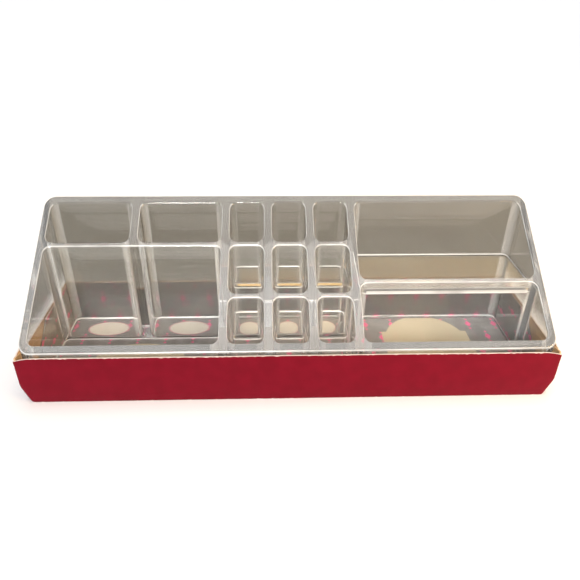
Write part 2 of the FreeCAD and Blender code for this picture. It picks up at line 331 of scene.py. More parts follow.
mark_outputs = [("Smudge", NUMBER), ("Scratch", NUMBER)]
handling, given, result = new_group("handling_marks", [("Vector", VECTOR)], mark_outputs)
wiped = noise(handling, given["Vector"], SMUDGE_SIZE, SMUDGE_DETAIL)
feed(handling, result["Smudge"], ramp(handling, wiped, *SMUDGE_RANGE))
streaks = noise(handling, given["Vector"], 1.0, 1.0, stretch=SCRATCH_STRETCH)
thin = ramp(handling, streaks, *SCRATCH_RANGE)
broken = ramp(handling, noise(handling, given["Vector"], BREAK_SIZE), *BREAK_RANGE)
feed(handling, result["Scratch"], maths(handling, "MULTIPLY", thin, broken))
print("group:", handling.name)

# %% Edge rub
RAGGED_SIZE = 2.2 * MM
RAGGED_DETAIL = 4.0
RAGGED_RANGE = (0.42, 0.72)

rub_inputs = [("Vector", VECTOR), ("Half length", NUMBER), ("Half width", NUMBER), ("Height", NUMBER),
              ("Reach", NUMBER)]
edge_rub, given, result = new_group("edge_rub", rub_inputs, [("Mask", NUMBER)])
position = add(edge_rub, "ShaderNodeSeparateXYZ")
feed(edge_rub, position.inputs["Vector"], given["Vector"])


def inside(axis, half):
    """How far a point lies inside a pair of opposite faces."""
    return maths(edge_rub, "SUBTRACT", given[half], maths(edge_rub, "ABSOLUTE", position.outputs[axis]))


from_ends = inside("X", "Half length")
from_sides = inside("Y", "Half width")
from_top = maths(edge_rub, "SUBTRACT", given["Height"], position.outputs["Z"])
from_level = maths(edge_rub, "MINIMUM", from_top, position.outputs["Z"])
nearest = maths(edge_rub, "MINIMUM", from_ends, from_sides)
further = maths(edge_rub, "MAXIMUM", from_ends, from_sides)
to_edge = maths(edge_rub, "MAXIMUM", nearest, maths(edge_rub, "MINIMUM", further, from_level))
ragged = noise(edge_rub, given["Vector"], RAGGED_SIZE, RAGGED_DETAIL)
worn = maths(edge_rub, "MULTIPLY", given["Reach"], ramp(edge_rub, ragged, *RAGGED_RANGE))
feed(edge_rub, result["Mask"], maths(edge_rub, "LESS_THAN", to_edge, worn))
print("group:", edge_rub.name)

# %% [markdown]
# Board. The carton is white-lined board: red print with a satin varnish outside, bare brown board inside,
# and a pale line where the sheet is cut. One plain red would do from afar. Here three materials follow
# the three surfaces: the print has a little cloudiness and fibre, smudges in its varnish, and pale paper
# showing where folds are rubbed, the board has flecks, and the cut edge has its layers.

# %% Red print
RED_INK = (0.164, 0.001, 0.010, 1)
DEEP_RED_INK = (0.142, 0.0005, 0.008, 1)
PALE_PAPER = (0.66, 0.52, 0.48, 1)
INK_FIBRE = 0.5 * MM
CARTON_RUB = 0.45 * MM
VARNISH_ROUGHNESS = (0.34, 0.5)
VARNISH_SHINE = 0.06
VARNISH_COAT = 0.08
COAT_ROUGHNESS = 0.22
PRINT_RELIEF = 0.18
FINE_DEPTH = 0.05 * MM


def red_print(half_length, half_width, height):
    """Red ink under satin varnish, rubbed pale along the carton's edges."""
    material, tree, shader, place = new_material("red_print")
    fibre = place_group(tree, paper_fibre, Vector=place["Object"], Fibre_length=INK_FIBRE)
    marks = place_group(tree, handling, Vector=place["Object"])
    rub = place_group(tree, edge_rub, Vector=place["Object"], Half_length=half_length,
                      Half_width=half_width, Height=height, Reach=CARTON_RUB)
    ink = mix(tree, fibre["Mottle"], RED_INK, DEEP_RED_INK)
    feed(tree, shader.inputs["Base Color"], mix(tree, rub["Mask"], ink, PALE_PAPER))
    feed(tree, shader.inputs["Roughness"], ramp(tree, marks["Smudge"], 0.0, 1.0, *VARNISH_ROUGHNESS))
    feed(tree, shader.inputs["Specular IOR Level"], VARNISH_SHINE)
    feed(tree, shader.inputs["Coat Weight"], ramp(tree, rub["Mask"], 0.0, 1.0, VARNISH_COAT, 0.0))
    feed(tree, shader.inputs["Coat Roughness"], COAT_ROUGHNESS)
    roughen(tree, shader, fibre["Height"], PRINT_RELIEF, FINE_DEPTH)
    return material


print("red print ready")

# %% Bare and cut board
BROWN_BOARD = (0.64, 0.42, 0.23, 1)
CLOUDED_BROWN_BOARD = tuple(0.88 * part for part in BROWN_BOARD)
DARK_BROWN_BOARD = (0.45, 0.28, 0.15, 1)
BOARD_FIBRE = 0.9 * MM
FLECK_SIZE = 0.7 * MM
FLECK_STRETCH = (1.0, 1.0, 3.0)
FLECK_RANGE = (0.62, 0.75)
BOARD_ROUGHNESS = (0.8, 0.95)
BOARD_RELIEF = 0.4
CUT_EDGE = (0.82, 0.72, 0.66, 1)
CUT_EDGE_SHADE = (0.60, 0.47, 0.41, 1)
EDGE_FIBRE = 0.4 * MM
LAYER_SIZE = 0.35 * MM
LAYER_STRETCH = (0.15, 1.0, 1.0)
LAYER_RANGE = (0.4, 0.7)
EDGE_ROUGHNESS = (0.75, 0.95)
EDGE_RELIEF = 0.5
FIBRE_RANGE = (0.2, 0.8)
COARSE_DEPTH = 0.1 * MM


def bare_board():
    """Brown board with long fibres and flecks."""
    material, tree, shader, place = new_material("bare_board")
    fibre = place_group(tree, paper_fibre, Vector=place["Object"], Fibre_length=BOARD_FIBRE)
    fleck = noise(tree, place["Object"], FLECK_SIZE, 1.0, stretch=FLECK_STRETCH)
    brown = mix(tree, fibre["Mottle"], BROWN_BOARD, CLOUDED_BROWN_BOARD)
    colour = mix(tree, ramp(tree, fleck, *FLECK_RANGE), brown, DARK_BROWN_BOARD)
    feed(tree, shader.inputs["Base Color"], colour)
    feed(tree, shader.inputs["Roughness"], ramp(tree, fibre["Height"], *FIBRE_RANGE, *BOARD_ROUGHNESS))
    roughen(tree, shader, fibre["Height"], BOARD_RELIEF, COARSE_DEPTH)
    return material


def cut_board():
    """The pale layered edge of a cut sheet."""
    material, tree, shader, place = new_material("cut_board")
    fibre = place_group(tree, paper_fibre, Vector=place["Object"], Fibre_length=EDGE_FIBRE)
    layer = noise(tree, place["Object"], LAYER_SIZE, stretch=LAYER_STRETCH)
    colour = mix(tree, ramp(tree, layer, *LAYER_RANGE), CUT_EDGE, CUT_EDGE_SHADE)
    feed(tree, shader.inputs["Base Color"], colour)
    feed(tree, shader.inputs["Roughness"], ramp(tree, fibre["Height"], *FIBRE_RANGE, *EDGE_ROUGHNESS))
    roughen(tree, shader, fibre["Height"], EDGE_RELIEF, COARSE_DEPTH)
    return material


print("board finishes ready")

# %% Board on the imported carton
CARTON_PANELS = [
    "carton_base",
    "carton_front_wall",
    "carton_back_wall",
    "carton_left_end",
    "carton_right_end",
]
FACETS = [name for name in nodes if name.endswith("_facet")]
FLAPS = [name for name in nodes if name.endswith("_glue_flap")]


def box_round(names):
    """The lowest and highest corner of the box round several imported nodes."""
    corners = [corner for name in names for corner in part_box(name)]
    return Vector(map(min, *corners)), Vector(map(max, *corners))


carton_low, carton_high = box_round(CARTON_PANELS)
board_materials = [red_print(carton_high.x, carton_high.y, carton_high.z), bare_board(), cut_board()]
for name in FLAPS:
    nodes[name].material_slots[0].material = board_materials[1]
print("board materials:", [material.name for material in board_materials])

# %% [markdown]
# The carton blank. On the real carton one sheet of board is folded up on all sides, so its creases are
# round and its walls are not quite flat. Five flat plates with sharp edges would look like a wooden box.
# Here a block of the carton's outer size is cut at its four lower corners, opened at the top and rounded
# at every crease. Its long front wall gets a gentle wave and its front corners dip a little, as handled
# cartons do, and at last the sheet gets the thickness of the board.

# %% Folding helpers
FACET_RUN = 5.0 * MM
FACET_RISE = 13.0 * MM
CREASE_ROUND = 0.7 * MM
CREASE_STEPS = 2
SOFT_CREASE = math.radians(40)


def pick(piece, choose, kind):
    """Selects the parts of a mesh in edit mode that a test chooses: VERT, EDGE or FACE."""
    bpy.ops.mesh.select_mode(type=kind)
    bpy.ops.mesh.select_all(action="DESELECT")
    mesh = bmesh.from_edit_mesh(piece.data)
    parts = {"VERT": mesh.verts, "EDGE": mesh.edges, "FACE": mesh.faces}[kind]
    for part in parts:
        part.select_set(choose(part))
    mesh.select_flush_mode()
    bmesh.update_edit_mesh(piece.data)
    return sum(part.select for part in parts)


def slice_all(point, direction, **options):
    """Cuts the whole mesh in edit mode by a plane."""
    bpy.ops.mesh.select_all(action="SELECT")
    bpy.ops.mesh.bisect(plane_co=point, plane_no=direction, **options)


def fold_up(name, low, high, inset, is_open):
    """Starts a folded sheet in edit mode: a block cut at its lower corners, opened, with round creases."""
    bpy.ops.object.select_all(action="DESELECT")
    bpy.ops.mesh.primitive_cube_add(size=1)
    piece = bpy.context.object
    piece.name = name
    bpy.ops.object.mode_set(mode="EDIT")
    bpy.ops.transform.resize(value=high - low)
    bpy.ops.transform.translate(value=(low + high) / 2)
    for side_x in (-1, 1):
        for side_y in (-1, 1):
            across = Vector((side_x / FACET_RUN, side_y / FACET_RUN, -1 / FACET_RISE)).normalized()
            foot = Vector((side_x * (carton_high.x - FACET_RUN), side_y * carton_high.y, carton_low.z))
            slice_all(foot - inset * across, across, use_fill=True, clear_outer=True)
    pick(piece, is_open, "FACE")
    bpy.ops.mesh.delete(type="FACE")
    creases = pick(piece, lambda edge: not edge.is_boundary, "EDGE")
    bpy.ops.mesh.bevel(offset=CREASE_ROUND, segments=CREASE_STEPS, affect="EDGES")
    print(name, "has", creases, "creases")
    return piece


def thicken(piece, thickness, materials):
    """Gives a sheet its thickness inwards, its finishes and soft creases; one finish may serve all sides."""
    for material in materials:
        piece.data.materials.append(material)
    sheet = piece.modifiers.new("thickness", "SOLIDIFY")
    sheet.thickness = thickness
    sheet.offset = -1
    sheet.use_even_offset = True
    if len(materials) > 1:
        sheet.material_offset = 1
        sheet.material_offset_rim = 2
    bpy.ops.object.modifier_apply(modifier=sheet.name)
    bpy.ops.object.shade_smooth_by_angle(angle=SOFT_CREASE)


print("folding helpers ready")

# %% Carton blank
FACING = 0.9
WALL_CUTS = 36
LEVEL_CUTS = 3
CORNER_CUTS = [2.2 * MM, 4.4 * MM, 6.6 * MM, 8.8 * MM]


def steps(low, high, count):
    """Evenly spaced places between two ends, the ends left out."""
    return [low + (high - low) * (index + 1) / (count + 1) for index in range(count)]


carton = fold_up("carton_blank", carton_low, carton_high, 0.0, lambda face: face.normal.z > FACING)
for x in steps(carton_low.x, carton_high.x, WALL_CUTS):
    slice_all((x, 0, 0), (1, 0, 0))
for z in steps(carton_low.z + FACET_RISE, carton_high.z, LEVEL_CUTS):
    slice_all((0, 0, z), (0, 0, 1))
for reach in CORNER_CUTS:
    slice_all((carton_high.x - reach, 0, 0), (1, 0, 0))
    slice_all((carton_low.x + reach, 0, 0), (1, 0, 0))
    slice_all((0, carton_low.y + reach, 0), (0, 1, 0))
bpy.ops.object.mode_set(mode="OBJECT")
print("carton sheet:", len(carton.data.polygons), "faces")

# %% Wave, dipped corners and thickness of the carton
NEAR = 0.01 * MM
WAVE_DEPTH = 0.3 * MM
WAVE_MIDDLE = 0.5
SLOW_WAVE = (0.3, 5.1, 0.6)
QUICK_WAVE = (0.2, 13.7, 2.0)
END_HOLD = 6
CORNER_DIP = 1.8 * MM
DIP_REACH = 11.0 * MM


def wave_at(along):
    """The share of the wave at a place along the front wall: a slow wave and a quick one, added."""
    share = WAVE_MIDDLE
    for height, pace, start in (SLOW_WAVE, QUICK_WAVE):
        share += height * math.sin(pace * along + start)
    return share


for vertex in carton.data.vertices:
    along = vertex.co.x / carton_high.x
    rise = (vertex.co.z - carton_low.z) / (carton_high.z - carton_low.z)
    if vertex.co.y < carton_low.y + NEAR:
        vertex.co.y += WAVE_DEPTH * wave_at(along) * rise * (1 - along**END_HOLD)
    near_end = max(0.0, 1 - (carton_high.x - abs(vertex.co.x)) / DIP_REACH)
    near_front = max(0.0, 1 - (vertex.co.y - carton_low.y) / DIP_REACH)
    vertex.co.z -= CORNER_DIP * (near_end * near_front * rise) ** 2
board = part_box("carton_base")[1].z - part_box("carton_base")[0].z
thicken(carton, board, board_materials)
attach(carton, "carton")
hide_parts(*CARTON_PANELS, *FACETS)
print("carton blank:", len(carton.data.polygons), "faces")

# %% [markdown]
# The printed card. A dark grey card lies under the tray and is folded up behind it and at both ends, where
# it is cut on a slant towards the front. Its print is made of small lozenges in staggered rows, with blank
# pale ovals for labels. A picture would tie the print to one size, so the pattern is worked out from the
# place on the card, unrolled round its folds.

# %% Label ovals
label_inputs = [("Along", NUMBER), ("Across", NUMBER), ("Centre along", NUMBER), ("Centre across", NUMBER),
                ("Half along", NUMBER), ("Half across", NUMBER)]
label_oval, given, result = new_group("label_oval", label_inputs, [("Reach", NUMBER)])


def squared_share(axis):
    """The squared share of an oval's half size at which a point lies."""
    away = maths(label_oval, "SUBTRACT", given[axis.title()], given[f"Centre {axis}"])
    share = maths(label_oval, "DIVIDE", away, given[f"Half {axis}"])
    return maths(label_oval, "MULTIPLY", share, share)


reach = maths(label_oval, "ADD", squared_share("along"), squared_share("across"))
feed(label_oval, result["Reach"], maths(label_oval, "SQRT", reach))
print("group:", label_oval.name)

# %% Lozenges
LOZENGE_PITCH = 18.0 * MM
LOZENGE_ROW_PITCH = 30.0 * MM
LOZENGE_HALF_WIDTH = 2.1 * MM
LOZENGE_HALF_LENGTH = 3.6 * MM
DOT_REACH = 5.4 * MM
DOT_RADIUS = 0.9 * MM


def lozenges(tree, along, across, shift):
    """A mask of lozenges, each with a dot beyond its tips, shifted by a share of half the pitch."""
    half_u, half_v = LOZENGE_PITCH / 2, LOZENGE_ROW_PITCH / 2
    u = maths(tree, "WRAP", maths(tree, "ADD", along, shift * half_u), half_u, -half_u)
    v = maths(tree, "WRAP", maths(tree, "ADD", across, shift * half_v), half_v, -half_v)
    width = maths(tree, "DIVIDE", maths(tree, "ABSOLUTE", u), LOZENGE_HALF_WIDTH)
    length = maths(tree, "DIVIDE", maths(tree, "ABSOLUTE", v), LOZENGE_HALF_LENGTH)
    lozenge = maths(tree, "LESS_THAN", maths(tree, "ADD", width, length), 1.0)
    away = maths(tree, "SUBTRACT", maths(tree, "ABSOLUTE", v), DOT_REACH)
    square = maths(tree, "ADD", maths(tree, "MULTIPLY", u, u), maths(tree, "MULTIPLY", away, away))
    dot = maths(tree, "LESS_THAN", square, DOT_RADIUS**2)
    return maths(tree, "MAXIMUM", lozenge, dot)


print("lozenges every", round(LOZENGE_PITCH / MM), "mm")

# %% Card print
CARD_GREY = (0.25, 0.24, 0.235, 1)
CARD_DARK_GREY = (0.19, 0.18, 0.18, 1)
LOZENGE_PINK = (0.70, 0.13, 0.26, 1)
LABEL_CREAM = (0.76, 0.69, 0.60, 1)
PLAQUE_CREAM = (0.50, 0.43, 0.31, 1)
LABEL_RING = (0.62, 0.30, 0.36, 1)
LABEL_LINE_SHARE = 0.92
# Each label's centre and half sizes, in millimetres
SMALL_LABELS = [
    (-121, 27, 14, 8),
    (-67, 27, 14, 8),
    (-26, 26.3, 8.2, 8.2),
    (0, 26.3, 8.2, 8.2),
    (25, 26.3, 8.2, 8.2),
]
LARGE_LABELS = [(-94, -5.5, 28, 14), (92.5, 12.5, 27, 27)]
PLAQUE_CENTRE = LARGE_LABELS[-1][0] * MM
PLAQUE_HALF_WIDTH = 29 * MM
PLAQUE_REACH = 21.5 * MM
TRIM_LINE = 0.5 * MM
CARD_RUB = 0.6 * MM
CARD_ROUGHNESS = (0.5, 0.62)
CARD_RELIEF = 0.08
UPRIGHT_FACING = 0.5


def card_print(half_length, half_width, height):
    """Grey ink with pink lozenges and blank cream ovals, rubbed at the folds."""
    material, tree, shader, place = new_material("card_print")
    spot = add(tree, "ShaderNodeSeparateXYZ")
    feed(tree, spot.inputs["Vector"], place["Object"])
    facing = add(tree, "ShaderNodeSeparateXYZ")
    feed(tree, facing.inputs["Vector"], place["Normal"])

    def unrolled(axis):
        """A coordinate along the card, carried on up the fold that faces along that axis."""
        turned = maths(tree, "ABSOLUTE", facing.outputs[axis])
        upright = maths(tree, "GREATER_THAN", turned, UPRIGHT_FACING)
        rise = maths(tree, "MULTIPLY", upright, spot.outputs["Z"])
        outward = maths(tree, "SIGN", spot.outputs[axis])
        return maths(tree, "ADD", spot.outputs[axis], maths(tree, "MULTIPLY", rise, outward))

    along, across = unrolled("X"), unrolled("Y")
    fibre = place_group(tree, paper_fibre, Vector=place["Object"], Fibre_length=INK_FIBRE)
    rub = place_group(tree, edge_rub, Vector=place["Object"], Half_length=half_length,
                      Half_width=half_width, Height=height, Reach=CARD_RUB)
    colour = mix(tree, fibre["Mottle"], CARD_GREY, CARD_DARK_GREY)
    pattern = maths(tree, "MAXIMUM", lozenges(tree, along, across, 0.0),
                    lozenges(tree, along, across, 1.0))
    colour = mix(tree, pattern, colour, LOZENGE_PINK)
    for x, y, half_x, half_y in SMALL_LABELS + LARGE_LABELS:
        oval = place_group(tree, label_oval, Along=along, Across=across, Centre_along=x * MM,
                           Centre_across=y * MM, Half_along=half_x * MM, Half_across=half_y * MM)
        label = maths(tree, "LESS_THAN", oval["Reach"], 1.0)
        blank = maths(tree, "LESS_THAN", oval["Reach"], LABEL_LINE_SHARE)
        ringed = mix(tree, blank, LABEL_RING, LABEL_CREAM)
        small = (x, y, half_x, half_y) in SMALL_LABELS
        colour = mix(tree, label, colour, ringed if small else PLAQUE_CREAM)
    beside = maths(tree, "ABSOLUTE", maths(tree, "SUBTRACT", along, PLAQUE_CENTRE))
    beyond = maths(tree, "ABSOLUTE", across)
    plaque = maths(tree, "MULTIPLY", maths(tree, "LESS_THAN", beside, PLAQUE_HALF_WIDTH),
                   maths(tree, "LESS_THAN", beyond, PLAQUE_REACH))
    colour = mix(tree, plaque, colour, PLAQUE_CREAM)
    trimmed = maths(tree, "GREATER_THAN", spot.outputs["Z"], height - TRIM_LINE)
    worn = maths(tree, "MAXIMUM", rub["Mask"], trimmed)
    feed(tree, shader.inputs["Base Color"], mix(tree, worn, colour, PALE_PAPER))
    feed(tree, shader.inputs["Roughness"], ramp(tree, fibre["Mottle"], 0.0, 1.0, *CARD_ROUGHNESS))
    roughen(tree, shader, fibre["Height"], CARD_RELIEF, FINE_DEPTH)
    return material


print("card print ready, with", len(SMALL_LABELS + LARGE_LABELS), "blank labels")

# %% Printed card
LINER = [name for name in nodes if name.startswith("liner_")]
CARD_BELOW_EDGE = 0.3 * MM
END_SLANT = 40.0 * MM

liner_low, liner_high = box_round(LINER)
liner_high.z = carton_high.z - CARD_BELOW_EDGE
floor_low, floor_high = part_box("liner_floor")


def open_side(face):
    """Whether a face of the block is left off: the top and the front."""
    return face.normal.z > FACING or face.normal.y < -FACING


liner = fold_up("printed_card", liner_low, liner_high, board, open_side)
front_of_floor = Vector((0, liner_low.y, floor_high.z))
slant = Vector((0, floor_high.z - liner_high.z, END_SLANT)).normalized()
slice_all(front_of_floor, slant, clear_outer=True)
bpy.ops.object.mode_set(mode="OBJECT")
thicken(liner, floor_high.z - floor_low.z, [card_print(liner_high.x, liner_high.y, liner_high.z)])
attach(liner, "carton")
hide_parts(*LINER)
print("printed card:", len(liner.data.polygons), "faces, in place of", LINER)

# %% [markdown]
# Clear plastic. The moulding is polished polystyrene: it bends light, mirrors a little of it and passes
# the rest. A plain glass shader would do for one sheet of glass, but smudges, fine scratches and the
# slight ripple of the moulding are what make it look like handled plastic. Six finishes share one recipe:
# clear walls, the outer skin and its ends, and the bends, the rim and the lines along the edges, which a
# lower clearness makes milky as a painted highlight; the rim is also a little rougher. The skin and its
# ends give light a grey tone on its way out. This is painted shade, and it darkens what is seen through the
# tray.
# This painted shade deepens towards the top, and the ends stay clear at the foot. A plain share of the
# lamps' light passes through, so that the card under the tray isn't left in the dark.

# %% Clear plastic
REFRACTIVE_INDEX = 1.49
# Heights over which the painted shade on light leaving the skin and its ends goes from the foot's tone to
# the top's.
FOOT_FADE = (18 * MM, 44 * MM)
SMUDGE_ROUGHNESS = 0.05
SCRATCH_ROUGHNESS = 0.15
RIPPLE_SIZE = 22 * MM
RIPPLE_STRENGTH = 0.06
RIPPLE_DEPTH = 0.4 * MM


def clear_plastic(name, tone, foot_tone_and_shade, top_tone_and_shade, dulled, lamp_share, clearness, polish):
    """Clear plastic with smudges and scratches. Leaving light takes the tone of the foot or the top, which
    on the skin and its ends is painted shade, and a low clearness gives the painted highlight of milky
    bends, lines and rim.
    """
    material, tree, shader, place = new_material(name)
    marks = place_group(tree, handling, Vector=place["Object"])
    leaving = add(tree, "ShaderNodeNewGeometry").outputs["Backfacing"]
    spot = add(tree, "ShaderNodeSeparateXYZ")
    feed(tree, spot.inputs["Vector"], place["Object"])
    # Light leaving through the back of a face takes the foot's or the top's tone. On the skin and its ends
    # this is painted shade, darker towards the top.
    leaving_tone_and_shade = mix(tree, ramp(tree, spot.outputs["Z"], *FOOT_FADE), foot_tone_and_shade, top_tone_and_shade)
    smudged = add(tree, "ShaderNodeVectorMath", operation="SCALE")
    feed(tree, smudged.inputs["Vector"], mix(tree, leaving, tone, leaving_tone_and_shade))
    feed(tree, smudged.inputs["Scale"], maths(tree, "MULTIPLY_ADD", marks["Smudge"], dulled - 1, 1.0))
    feed(tree, shader.inputs["Base Color"], smudged.outputs["Vector"])
    wiped = ramp(tree, marks["Smudge"], 0.0, 1.0, polish, polish + SMUDGE_ROUGHNESS)
    scratched = maths(tree, "MULTIPLY", marks["Scratch"], SCRATCH_ROUGHNESS)
    feed(tree, shader.inputs["Roughness"], maths(tree, "ADD", wiped, scratched))
    feed(tree, shader.inputs["Transmission Weight"], clearness)
    feed(tree, shader.inputs["IOR"], REFRACTIVE_INDEX)
    ripple = noise(tree, place["Object"], RIPPLE_SIZE, 1.0)
    roughen(tree, shader, ripple, RIPPLE_STRENGTH, RIPPLE_DEPTH)
    passing = add(tree, "ShaderNodeBsdfTransparent")
    feed(tree, passing.inputs["Color"], (lamp_share, lamp_share, lamp_share, 1))
    either = add(tree, "ShaderNodeMixShader")
    feed(tree, either.inputs[0], add(tree, "ShaderNodeLightPath").outputs["Is Shadow Ray"])
    feed(tree, either.inputs[1], shader.outputs["BSDF"])
    feed(tree, either.inputs[2], passing.outputs["BSDF"])
    feed(tree, tree.nodes["Material Output"].inputs["Surface"], either.outputs["Shader"])
    return material


print("clear plastic ready, with a refractive index of", REFRACTIVE_INDEX)

# %% Six finishes
CLEAR_TONE = (0.92, 0.925, 0.91, 1)
# Painted shade: the dark tones that light leaving through the skin and its ends takes, deeper at the top.
PAINTED_SHADE_TONE = (0.051, 0.048, 0.041, 1)
TOP_PAINTED_SHADE_TONE = (0.034, 0.031, 0.024, 1)
# Colours of the painted highlights: with less clearness, the bends, lines and rim show them as a milky
# paleness.
BEND_HIGHLIGHT_TONE = (0.90, 0.905, 0.89, 1)
LINE_HIGHLIGHT_TONE = (0.93, 0.935, 0.925, 1)
SKIN_FINISH = {"dulled": 0.93, "lamp_share": 0.55, "clearness": 0.985, "polish": 0.02}


def even_plastic(name, tone, **finish):
    """Clear plastic that gives light the same tone on its way in and out."""
    return clear_plastic(name, tone, tone, tone, **finish)


plastics = [
    even_plastic("clear_wall", CLEAR_TONE, dulled=0.93, lamp_share=0.95, clearness=0.985, polish=0.015),
    # The skin: clear on the way in, painted shade on the way out.
    clear_plastic("clear_skin", CLEAR_TONE, PAINTED_SHADE_TONE, TOP_PAINTED_SHADE_TONE, **SKIN_FINISH),
    # Bends and lines are made milky by a lower clearness, a painted highlight; on the lines the smudges
    # break it up.
    even_plastic("clear_bend", BEND_HIGHLIGHT_TONE, dulled=0.85, lamp_share=0.85, clearness=0.93, polish=0.04),
    even_plastic("clear_line", LINE_HIGHLIGHT_TONE, dulled=0.55, lamp_share=0.85, clearness=0.45, polish=0.12),
    # The ends: painted shade on light leaving through them, towards the top.
    clear_plastic("clear_end", CLEAR_TONE, CLEAR_TONE, PAINTED_SHADE_TONE, **SKIN_FINISH),
    # The rim: a milky painted highlight, and a little rougher.
    even_plastic("clear_rim", BEND_HIGHLIGHT_TONE, dulled=0.85, lamp_share=0.85, clearness=0.81, polish=0.05),
]
WALL, SKIN, BEND, LINE, END, RIM = range(len(plastics))
print("clear plastics:", [material.name for material in plastics])

# %% [markdown]
# The compartments' places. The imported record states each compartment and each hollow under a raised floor
# as a box that keeps clear of the moulding. The places could be typed in again, but from those boxes and
# their known clearances come the wall faces, the floors and the slope of the rim, so they always agree.

# %% Compartments
PACKED_CELL_ROUND = 5.0 * MM
BOX_CLEARANCE = 0.3 * MM
FLOOR_CLEARANCE = 1.1 * MM
CORNER_CLEARANCE = PACKED_CELL_ROUND * (1 - math.sqrt(0.5)) + BOX_CLEARANCE

stated = {item["name"]: item["box_m"] for item in frame["record"]["physics"]["openings"]}
cells = {name: box for name, box in stated.items() if not name.startswith("hollow")}
hollows = {name: box for name, box in stated.items() if name.startswith("hollow")}


def wall_faces(box):
    """The plan of a compartment: the lowest and highest corner of its wall faces."""
    grow = Vector((CORNER_CLEARANCE, CORNER_CLEARANCE))
    return Vector(box[0][:2]) - grow, Vector(box[1][:2]) + grow


def floor_level(box):
    """Height of a compartment's floor."""
    return box[0][2] - FLOOR_CLEARANCE


def top_level(box):
    """Height of a hollow's ceiling, or of the rim over the back wall face of a compartment."""
    return box[1][2] + BOX_CLEARANCE


print(len(cells), "compartments and", len(hollows), "hollows")

# %% Slope of the rim
near_y = wall_faces(cells["right_front_bin"])[1].y
near_z = top_level(cells["right_front_bin"])
far_y = wall_faces(cells["left_back_bin_outer"])[1].y
far_z = top_level(cells["left_back_bin_outer"])
RIM_SLOPE = (far_z - near_z) / (far_y - near_y)


def rim_height(y):
    """Height of the slanted rim over a line across the tray."""
    return near_z + RIM_SLOPE * (y - near_y)


print("rim slope in degrees:", round(math.degrees(math.atan(RIM_SLOPE)), 1))

# %% [markdown]
# The moulded tray. Its edges are what the eye reads in clear plastic: the rounded rim, the round corners
# and the small radius where each floor meets its walls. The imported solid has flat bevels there. One way to
# round them is a bevel over the whole solid, which tangles where 14 compartments meet one slanted rim.
# Here each compartment is modelled as a cup instead: a flat face with round corners, set in step by step
# round the mouth, drawn down to its floor and set in again. The outer walls and the long dividers are made
# as thick as they look along the rim.

# %% Shell helpers
CORNER_STEPS = 7
ROUND_STEPS = 3


def flat_face(low, high, corner, height):
    """Starts a mesh with one face with round corners, selected in edit mode."""
    bpy.ops.object.select_all(action="DESELECT")
    bpy.ops.mesh.primitive_plane_add(size=1)
    piece = bpy.context.object
    bpy.ops.object.mode_set(mode="EDIT")
    bpy.ops.transform.resize(value=(high.x - low.x, high.y - low.y, 1))
    bpy.ops.transform.translate(value=((low.x + high.x) / 2, (low.y + high.y) / 2, height))
    bpy.ops.mesh.bevel(offset=corner, segments=CORNER_STEPS, affect="VERTICES")
    pick(piece, lambda face: True, "FACE")
    for material in plastics:
        piece.data.materials.append(material)
    return piece


def set_in(radius, wall_first, sign):
    """Sets the selected face in round a quarter circle, up or down; wall_first starts along the wall."""
    inward, level = 0.0, 0.0
    for index in range(1, ROUND_STEPS + 1):
        angle = UPRIGHT * index / ROUND_STEPS
        sine, rest = radius * math.sin(angle), radius * (1 - math.cos(angle))
        new_inward, new_level = (rest, sine) if wall_first else (sine, rest)
        bpy.ops.mesh.inset(thickness=new_inward - inward, depth=0)
        bpy.ops.transform.translate(value=(0, 0, sign * (new_level - level)))
        inward, level = new_inward, new_level


def draw(height):
    """Extrudes the selected face straight up or down."""
    bpy.ops.mesh.extrude_region_move(TRANSFORM_OT_translate={"value": (0, 0, height)})


def pick_level(piece, height):
    """Selects the face that lies flat at a height."""
    pick(piece, lambda face: all(abs(vert.co.z - height) < NEAR for vert in face.verts), "FACE")


print("shell helpers ready, with", ROUND_STEPS, "steps to each round")

# %% Cups, hollows and skin
RIM_ROUND = 0.9 * MM
FLOOR_ROUND = 1.6 * MM
CEILING_ROUND = 1.0 * MM
FOOT_ROUND = 1.2 * MM
OUTER_ROUND = 6.5 * MM
CELL_ROUND = 4.0 * MM
FLAT_RIM = 0.12
FLAT_TURN = 0.999
tray_low, tray_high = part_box("clear_tray")


def cup(low, high, floor_height):
    """One compartment: a rounded mouth, straight walls and a floor with a small radius."""
    grow = Vector((RIM_ROUND, RIM_ROUND))
    piece = flat_face(low - grow, high + grow, CELL_ROUND + RIM_ROUND, FLAT_RIM)
    set_in(RIM_ROUND, False, -1)
    draw(floor_height + FLOOR_ROUND - (FLAT_RIM - RIM_ROUND))
    set_in(FLOOR_ROUND, True, -1)
    bpy.ops.object.mode_set(mode="OBJECT")
    return piece


def hollow(low, high, ceiling):
    """The hollow under a raised floor, open at the base."""
    piece = flat_face(low, high, CELL_ROUND, tray_low.z)
    draw(ceiling - CEILING_ROUND - tray_low.z)
    set_in(CEILING_ROUND, True, 1)
    pick_level(piece, tray_low.z)
    bpy.ops.mesh.delete(type="ONLY_FACE")
    bpy.ops.object.mode_set(mode="OBJECT")
    return piece


def skin():
    """The outside of the moulding, open at the rim and at the base."""
    foot = tray_low.z + FOOT_ROUND
    piece = flat_face(tray_low.xy, tray_high.xy, OUTER_ROUND, foot)
    draw(FLAT_RIM - RIM_ROUND - foot)
    set_in(RIM_ROUND, True, 1)
    bpy.ops.mesh.delete(type="ONLY_FACE")
    pick_level(piece, foot)
    set_in(FOOT_ROUND, True, -1)
    bpy.ops.mesh.delete(type="ONLY_FACE")
    bpy.ops.object.mode_set(mode="OBJECT")
    for face in piece.data.polygons:
        face.material_index = END if abs(face.normal.x) > FLAT_TURN else SKIN
    return piece


print("tray in mm:", [round(size / MM, 1) for size in tray_high - tray_low])

# %% Shells of the moulding
OUTER_WALL = 4.0 * MM
WALL_GROWTH = 1.7 * MM
DIVIDER_GROWTH = 1.3 * MM


